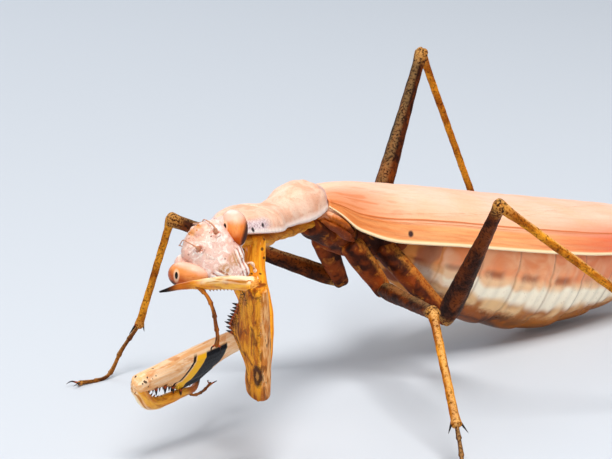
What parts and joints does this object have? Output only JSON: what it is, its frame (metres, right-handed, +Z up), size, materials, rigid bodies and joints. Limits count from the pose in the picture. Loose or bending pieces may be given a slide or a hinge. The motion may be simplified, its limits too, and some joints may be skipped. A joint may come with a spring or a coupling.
{
  "type": "praying mantis",
  "caption": "Life-size still model of a brown praying mantis, standing with its wings folded, its forelegs drawn up and its head turned aside, for display and study.",
  "frame": {"origin": "on the floor that the feet stand on, under the middle of the box round the whole animal", "axes": "+Z up, the folded wings' tips toward +X, the head toward -X, the animal's left side toward -Y"},
  "size_m": [0.0774, 0.049, 0.0257],
  "materials": {
    "cuticle_pale": "satin, finely speckled pale pink-peach cuticle",
    "soft_cuticle": "matt cream and pink cuticle with brown bands",
    "eye": "glossy, smooth, orange-brown below and pinkish white above",
    "wing": "satin, finely netted pale peach and cream",
    "hindwing": "satin, pleated",
    "thorax": "matt dark rust-brown, mottled",
    "feeler": "matt brown, ringed",
    "foreleg": "satin ochre with brown mottling and black spines",
    "walking_leg": "satin brown, mottled dark and golden",
    "foot": "satin dark brown"
  },
  "bodies": {
    "root": {"pronotum": "cuticle_pale", "head": "cuticle_pale", "prosternum": "soft_cuticle", "neck": "soft_cuticle", "mouthparts": "soft_cuticle", "abdomen": "soft_cuticle", "eye_l": "eye", "eye_r": "eye", "tegmen_l": "wing", "tegmen_r": "wing", "hindwings": "hindwing", "pterothorax": "thorax", "antenna_l": "feeler", "antenna_r": "feeler", "cercus_l": "feeler", "cercus_r": "feeler", "fore_coxa_l": "foreleg", "fore_femur_l": "foreleg", "fore_tibia_l": "foreleg", "fore_coxa_r": "foreleg", "fore_femur_r": "foreleg", "fore_tibia_r": "foreleg", "mid_coxa_l": "walking_leg", "mid_femur_l": "walking_leg", "mid_tibia_l": "walking_leg", "mid_coxa_r": "walking_leg", "mid_femur_r": "walking_leg", "mid_tibia_r": "walking_leg", "hind_coxa_l": "walking_leg", "hind_femur_l": "walking_leg", "hind_tibia_l": "walking_leg", "hind_coxa_r": "walking_leg", "hind_femur_r": "walking_leg", "hind_tibia_r": "walking_leg", "fore_tarsus_l": "foot", "fore_tarsus_r": "foot", "mid_tarsus_l": "foot", "mid_tarsus_r": "foot", "hind_tarsus_l": "foot", "hind_tarsus_r": "foot"}
  },
  "joints": []
}
